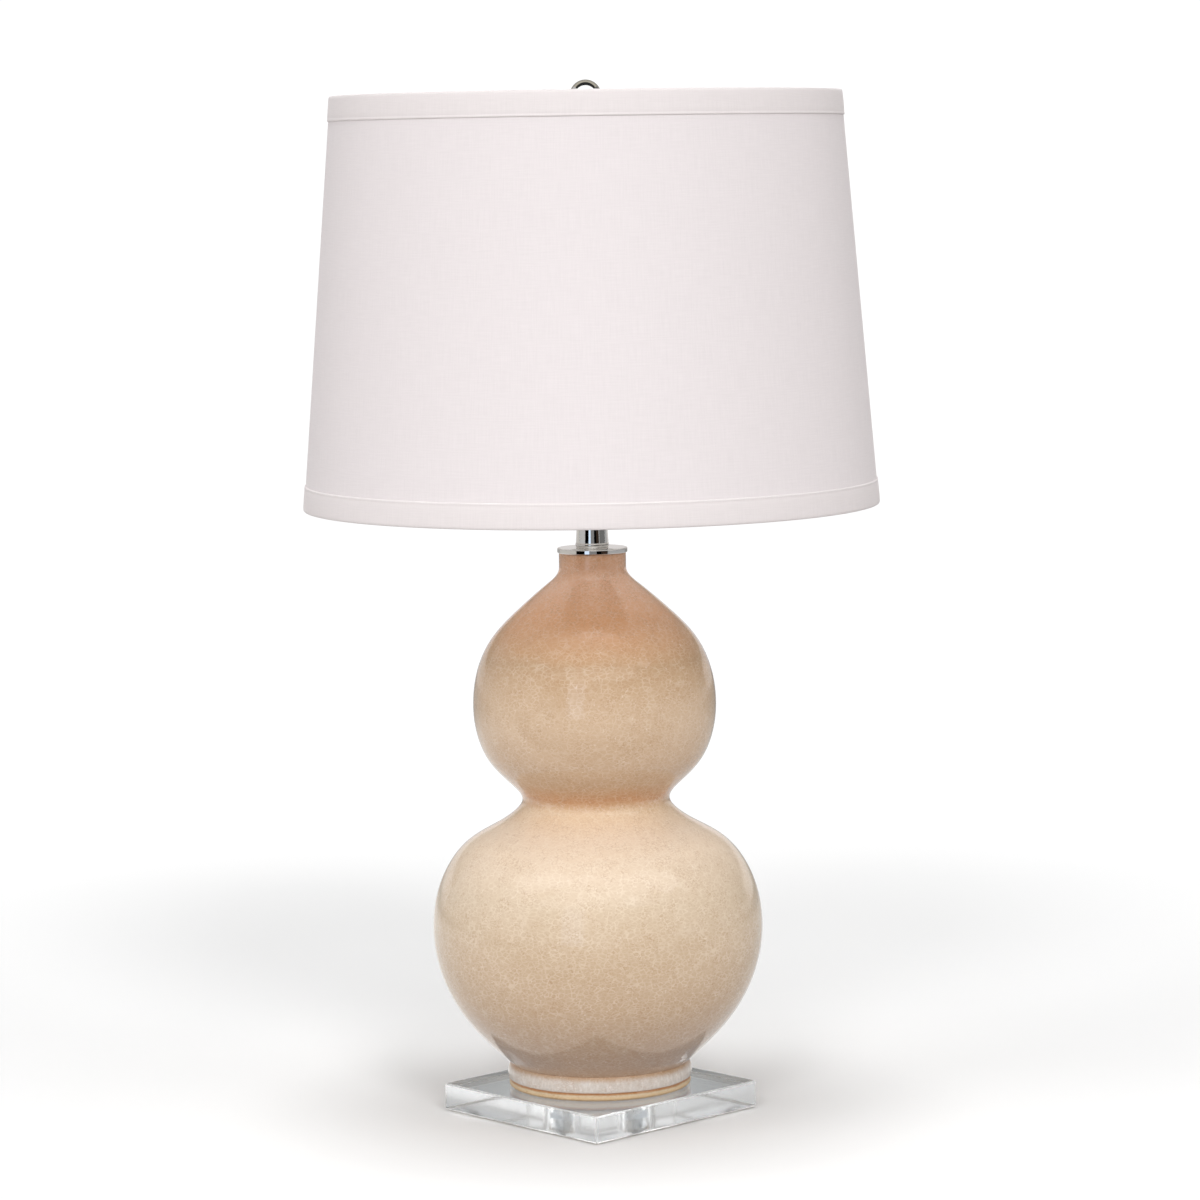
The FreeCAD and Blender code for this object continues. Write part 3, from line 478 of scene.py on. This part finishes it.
def shade_radius(z):
    """Radius of the cloth's outside at a height, in millimetres."""
    share = (SHADE_TOP - z) / (SHADE_TOP - SHADE_BOTTOM)
    return SHADE_TOP_RADIUS + share * (SHADE_BOTTOM_RADIUS - SHADE_TOP_RADIUS)


def turned_piece(name, outline, finish, turn=2 * math.pi, steps=SHADE_STEPS):
    """A piece spun round the lamp's axis from an outline of (radius, height) in millimetres."""
    bpy.ops.object.select_all(action="DESELECT")
    bpy.ops.mesh.primitive_plane_add(size=2 * MM)
    piece = bpy.context.object
    piece.name = name
    bpy.ops.object.mode_set(mode="EDIT")
    bpy.ops.mesh.merge(type="CENTER")
    radius, level = outline[0]
    bpy.ops.transform.translate(value=(0, radius * MM, level * MM))
    for far, up in outline[1:] + outline[:1]:
        step = (0, (far - radius) * MM, (up - level) * MM)
        bpy.ops.mesh.extrude_vertices_move(TRANSFORM_OT_translate={"value": step})
        radius, level = far, up
    bpy.ops.mesh.select_all(action="SELECT")
    bpy.ops.mesh.spin(steps=steps, angle=turn, center=(0, 0, 0), axis=(0, 0, 1))
    bpy.ops.mesh.select_all(action="SELECT")
    bpy.ops.mesh.remove_doubles(threshold=0.005 * MM)
    bpy.ops.mesh.normals_make_consistent(inside=False)
    bpy.ops.object.mode_set(mode="OBJECT")
    bpy.ops.object.shade_smooth_by_angle(angle=math.radians(40))
    piece.data.materials.append(finish)
    return piece


def cloth_outline():
    """Sloping sheet between the two tapes, with its inner face against the lining."""
    low, high = SHADE_BOTTOM + TAPE + 0.1, SHADE_TOP - TAPE - 0.1
    levels = [low + (high - low) * k / 8 for k in range(9)]
    outside = [(shade_radius(z), z) for z in levels]
    inside = [(shade_radius(z) - CLOTH, z) for z in reversed(levels)]
    return outside + inside


def tape_outline(edge, inwards):
    """Tape folded over an edge, a little crowned, with its cut edge turned under at the band's end."""

    def out(z, outward):
        return (shade_radius(z) + outward, z)

    band = edge + inwards * TAPE_WIDTH
    flap = edge + inwards * TAPE_FLAP
    fold = edge + inwards * TAPE
    # How far in from the band's end and how proud of the cloth
    crown = [
        (0.0, 0.05),
        (0.15, 0.55),
        (0.5, 0.80),
        (1.1, 0.86),
        (1.7, 0.70),
        (2.1, 0.66),
        (2.6, 0.74),
        (5.5, 0.82),
        (9.0, 0.84),
        (13.0, 0.80),
        (15.6, 0.78),
        (16.6, 0.66),
        (17.2, 0.40),
    ]
    outside = [out(band - inwards * away, proud) for away, proud in crown]
    over = [
        out(edge + inwards * 0.12, 0.10),
        (shade_radius(edge) - 0.4, edge),
        (shade_radius(edge) - TAPE_DEPTH / 2, edge + inwards * 0.05),
        (shade_radius(edge) - TAPE_DEPTH + 0.4, edge),
        out(edge + inwards * 0.2, -TAPE_DEPTH - 0.3),
        out(edge + inwards * 0.8, -TAPE_DEPTH - 0.7),
    ]
    inside = [
        out(flap - inwards * 0.6, -TAPE_DEPTH - 0.75),
        out(flap, -TAPE_DEPTH - 0.35),
        out(flap - inwards * 0.3, -TAPE_DEPTH + 0.05),
        out(fold, -TAPE_DEPTH + 0.05),
        out(fold, 0.05),
    ]
    return outside + over + inside


def lap_piece():
    """Folded edge where the cloth laps over itself, down the middle of the back."""
    low, high = SHADE_BOTTOM + TAPE_WIDTH - 1.0, SHADE_TOP - TAPE_WIDTH + 1.0
    inner = [(shade_radius(z) + 0.02, z) for z in (low, high)]
    outer = [(radius + CLOTH, z) for radius, z in reversed(inner)]
    turn = LAP_WIDTH / SHADE_BOTTOM_RADIUS
    piece = turned_piece("shade_cloth_lap", inner + outer, cloth, turn=turn, steps=8)
    bpy.ops.object.mode_set(mode="EDIT")
    bpy.ops.mesh.select_all(action="SELECT")
    bpy.ops.mesh.fill_holes(sides=0)
    bpy.ops.mesh.select_all(action="SELECT")
    bpy.ops.transform.rotate(value=turn / 2, orient_axis="Z", center_override=(0, 0, 0))
    bpy.ops.mesh.normals_make_consistent(inside=False)
    bpy.ops.object.mode_set(mode="OBJECT")
    edge = piece.modifiers.new("soft edge", "BEVEL")
    edge.width = 0.18 * MM
    edge.segments = 2
    bpy.ops.object.modifier_apply(modifier="soft edge")
    bpy.ops.object.shade_smooth_by_angle(angle=math.radians(40))
    return piece


shade_cloth = turned_piece("shade_cloth", cloth_outline(), cloth)
cloth_lap = lap_piece()
top_tape = turned_piece("shade_top_tape", tape_outline(SHADE_TOP, -1), tape)
bottom_tape = turned_piece("shade_bottom_tape", tape_outline(SHADE_BOTTOM, 1), tape)

for piece, node, slot_name in (
    (shade_cloth, "shade_fabric", "white_linen"),
    (top_tape, "shade_top_trim", "white_tape"),
    (bottom_tape, "shade_bottom_trim", "white_tape"),
):
    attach(piece, "shade")
    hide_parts(node)
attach(cloth_lap, "shade")

# Flat area, in square metres: the cone of the shade unrolled
cone_area = math.pi * (SHADE_TOP_RADIUS + SHADE_BOTTOM_RADIUS) * MM
cone_area *= math.hypot(SHADE_TOP - SHADE_BOTTOM, SHADE_BOTTOM_RADIUS - SHADE_TOP_RADIUS) * MM

# Floor, backdrop and light


def ray_kinds(tree):
    """Kinds of ray: the camera's own, from a gloss, through something clear, and after a matt surface."""
    path = add(tree, "ShaderNodeLightPath").outputs
    clear = path["Is Transmission Ray"]
    mirrored = maths(tree, "MULTIPLY", path["Is Glossy Ray"], maths(tree, "SUBTRACT", 1.0, clear))
    matt = maths(tree, "MINIMUM", path["Diffuse Depth"], 1.0)
    return path["Is Camera Ray"], mirrored, clear, matt


def floor_material():
    """White paper sweep: near the lamp it keeps its soft shadow and a painted shadow round the block and
    behind the lamp, and further off it is plain white.
    """
    made, tree, shader = material(
        "paper_sweep_white", {"Roughness": 0.9, "Specular IOR Level": 0.0, "Base Color": colour("#F0F0F0")}
    )
    at = where(tree)
    distance = add(tree, "ShaderNodeVectorMath", {0: at}, operation="LENGTH").outputs["Value"]
    apart = add(tree, "ShaderNodeSeparateXYZ", {0: at}).outputs
    sideways, forward = apart["X"], apart["Y"]
    camera_ray, glossy_ray, clear_ray, matt_before = ray_kinds(tree)

    # For the camera the paper's lift is smaller behind the lamp and fades in from the block outwards: a
    # painted shadow round the block's foot and behind the lamp, over its real shadow
    lift_minus_painted_shadow = map_range(tree, forward, -0.10, 0.30, FLOOR_LIFT_FRONT, FLOOR_LIFT_BACK)
    lift_minus_painted_shadow = maths(tree, "MULTIPLY", lift_minus_painted_shadow, map_range(tree, distance, 0.12, 0.29, smooth=True))
    near = add(tree, "ShaderNodeAddShader", {0: shader.outputs[0], 1: glow(tree, lift_minus_painted_shadow)}).outputs[0]
    far = map_range(tree, distance, 0.7, 1.5, smooth=True)
    shown = either(tree, far, near, glow(tree, PAPER_WHITE))

    # In a gloss it is lit beside and behind the lamp and lies in the room's dark towards the front
    lit = map_range(tree, forward, -0.35, -0.15, 0.10, 0.95, smooth=True)
    lit = maths(tree, "MULTIPLY", lit, map_range(tree, sideways, 0.0, 0.3, 1.0, 0.72))
    lit = maths(tree, "MULTIPLY", lit, map_range(tree, distance, 1.0, 2.0, 1.0, 0.45))
    mirrored = glow(tree, lit, "#FFFDFA")

    # Through the block it glows: darker right under the block as painted shadow, brighter to the left than to
    # the right beside it as painted light, and it lights the matt pieces over it
    painted_shadow_under_block = glow(tree, map_range(tree, distance, 0.055, 0.10, 0.52, 0.36), "#F3F9FF")
    painted_light_past_block = glow(tree, map_range(tree, sideways, -0.2, 0.2, 0.96, 0.66, smooth=True))
    through = either(tree, map_range(tree, distance, 0.09, 0.15, smooth=True), painted_shadow_under_block, painted_light_past_block)
    through = either(tree, matt_before, through, glow(tree, 0.85, "#FFF8F0"))

    bounced = add(tree, "ShaderNodeBsdfDiffuse", {"Color": colour("#C4C2C0")}).outputs[0]
    result = either(tree, clear_ray, bounced, through)
    result = either(tree, glossy_ray, result, mirrored)
    result = either(tree, camera_ray, result, shown)
    tree.links.new(result, tree.nodes["Material Output"].inputs["Surface"])
    return made


def glow_material(name, strength, code="#FFFFFF"):
    """Even light of a card, or a black drape at no strength."""
    made = bpy.data.materials.new(name)
    made.use_nodes = True
    tree = made.node_tree
    tree.nodes.clear()
    add(tree, "ShaderNodeOutputMaterial", {"Surface": glow(tree, strength, code)})
    return made


def stage_plane(name, wide, high, finish):
    """A plane of the studio, which isn't part of the lamp."""
    bpy.ops.object.select_all(action="DESELECT")
    bpy.ops.mesh.primitive_plane_add(size=1)
    plane = bpy.context.object
    plane.name = name
    plane.scale = (wide, high, 1)
    bpy.ops.object.transform_apply(location=False, rotation=False, scale=True)
    plane.data.materials.append(finish)
    return plane


def reflected_card(name, angles, elevations, strength, code="#FFFFFF", distance=2.2):
    """A card between two angles round the camera and two elevations that only glosses show."""
    middle = (angles[0] + angles[1]) / 2, (elevations[0] + elevations[1]) / 2
    wide = 2 * distance * math.tan(math.radians(angles[1] - angles[0]) / 2)
    high = 2 * distance * math.tan(math.radians(elevations[1] - elevations[0]) / 2)
    card_plane = stage_plane(name, wide, high, glow_material(name, strength, code))
    card_plane.location = around(*middle, distance, STUDIO_MIDDLE)
    card_plane.rotation_mode = "QUATERNION"
    card_plane.rotation_quaternion = facing(card_plane.location, Vector((0, 0, STUDIO_MIDDLE)))
    for kind in ("camera", "diffuse", "transmission", "shadow", "volume_scatter"):
        setattr(card_plane, "visible_" + kind, False)


floor = stage_plane("floor", FLOOR_SIDE, FLOOR_SIDE, floor_material())
floor.rotation_euler.z = math.radians(CAMERA_AZIMUTH)

world = bpy.data.worlds.new("studio")
bpy.context.scene.world = world
world.use_nodes = True
tree = world.node_tree
tree.nodes.clear()
camera_ray, glossy_ray, clear_ray, matt_before = ray_kinds(tree)
through_clear = map_range(tree, matt_before, 0.0, 1.0, WORLD_CLEAR, WORLD_BEHIND_CLEAR)
through_clear = maths(tree, "SUBTRACT", through_clear, WORLD_AMBIENT)
strength = WORLD_AMBIENT
for kind, more in (
    (camera_ray, PAPER_WHITE - WORLD_AMBIENT),
    (glossy_ray, WORLD_GLOSS - WORLD_AMBIENT),
    (clear_ray, through_clear),
):
    strength = maths(tree, "ADD", strength, maths(tree, "MULTIPLY", kind, more))
background = add(tree, "ShaderNodeBackground", {"Color": colour("#FFFFFF"), "Strength": strength})
add(tree, "ShaderNodeOutputWorld", {"Surface": background.outputs[0]})


def far_light(name, angle, elevation, spread, strength):
    """A distant studio lamp with an angle of spread, which isn't seen in the lamp's gloss."""
    data = bpy.data.lights.new(name, "SUN")
    data.angle = math.radians(spread)
    data.energy = strength
    light = bpy.data.objects.new(name, data)
    light.location = around(angle, elevation, LIGHT_DISTANCE, STUDIO_MIDDLE)
    light.rotation_mode = "QUATERNION"
    light.rotation_quaternion = facing(light.location, Vector((0, 0, STUDIO_MIDDLE)))
    light.visible_glossy = False
    bpy.context.scene.collection.objects.link(light)
    return light


far_light("key_light", 17, 35, 15, 0.89)
far_light("fill_light", -16, 33, 15, 0.66)
far_light("low_light", 0, 7, 40, 0.24)
far_light("left_light", -64, 22, 40, 0.76)
far_light("right_light", 64, 22, 40, 0.49)
far_light("top_light", 0, 82, 50, 0.72)

# The lamp's back is lit too, by lights that the sweep goes without, so that it keeps one soft shadow
lamp_pieces = bpy.data.collections.new("lamp_pieces")
for each in [*nodes.values(), shade_cloth, cloth_lap, top_tape, bottom_tape]:
    lamp_pieces.objects.link(each)
for back_light in (
    far_light("back_key_light", 170, 30, 20, 1.0),
    far_light("back_fill_light", -168, 26, 30, 0.75),
):
    back_light.light_linking.receiver_collection = lamp_pieces

# What the gloss shows, by angles and elevations: pale walls round the lamp, bright light over the camera,
# a strip of light left of it and black drapes
reflected_card("pale_wall", (-56, 54), (-13, 44), 0.70, distance=3.6)
reflected_card("left_wall", (-134, -54), (0, 44), 0.56, distance=3.2)
reflected_card("right_wall", (52, 134), (0, 44), 0.17, distance=3.2)
reflected_card("left_table", (-134, -54), (-13, 0), 0.60, "#FFFBF4", distance=3.2)
reflected_card("right_table", (52, 134), (-13, 0), 0.43, distance=3.2)
reflected_card("strip_light", (-25, -10), (-14, 24), 1.25, "#D6E9FF")
reflected_card("grey_drape", (-10, 14), (-14, 24), 0.24)
reflected_card("left_drape", (-52, -25), (-14, 24), 0.0)
reflected_card("right_drape", (14, 30), (-14, 24), 0.0)
reflected_card("brown_drape", (30, 50), (-14, 24), 0.07, "#C8A890")
reflected_card("front_ceiling", (-50, 50), (50, 81), 1.3)
reflected_card("soft_box", (-24, 38), (22, 51), 1.05, distance=2.6)
reflected_card("back_ceiling", (120, 240), (44, 70), 0.55, "#F2EAD8", distance=3.0)
reflected_card("back_wall", (134, 226), (8, 44), 0.36, "#F4EFE4", distance=5.5)
reflected_card("back_table", (134, 226), (-4, 8), 0.76, "#FBF6F4", distance=5.5)

# Camera

camera = bpy.data.objects.new("camera", bpy.data.cameras.new("camera"))
bpy.context.scene.collection.objects.link(camera)
camera.data.sensor_width = SENSOR
camera.data.lens = SENSOR * FOCAL_PIXELS / IMAGE_SIDE
camera.location = around(0, 0, CAMERA_DISTANCE, CAMERA_HEIGHT)
yaw = math.atan(AXIS_OFFSET_PIXELS / FOCAL_PIXELS)
turn = (
    Matrix.Rotation(math.radians(CAMERA_AZIMUTH) + yaw, 4, "Z")
    @ Matrix.Rotation(math.radians(90 - CAMERA_PITCH), 4, "X")
    @ Matrix.Rotation(math.radians(CAMERA_ROLL), 4, "Z")
)
camera.rotation_euler = turn.to_euler()
bpy.context.scene.camera = camera

bpy.context.scene.view_settings.view_transform = "Standard"

# Light is thrown to and fro in the clear block many times before it leaves
bpy.context.scene.cycles.max_bounces = 24
bpy.context.scene.cycles.glossy_bounces = 20
bpy.context.scene.cycles.transmission_bounces = 24
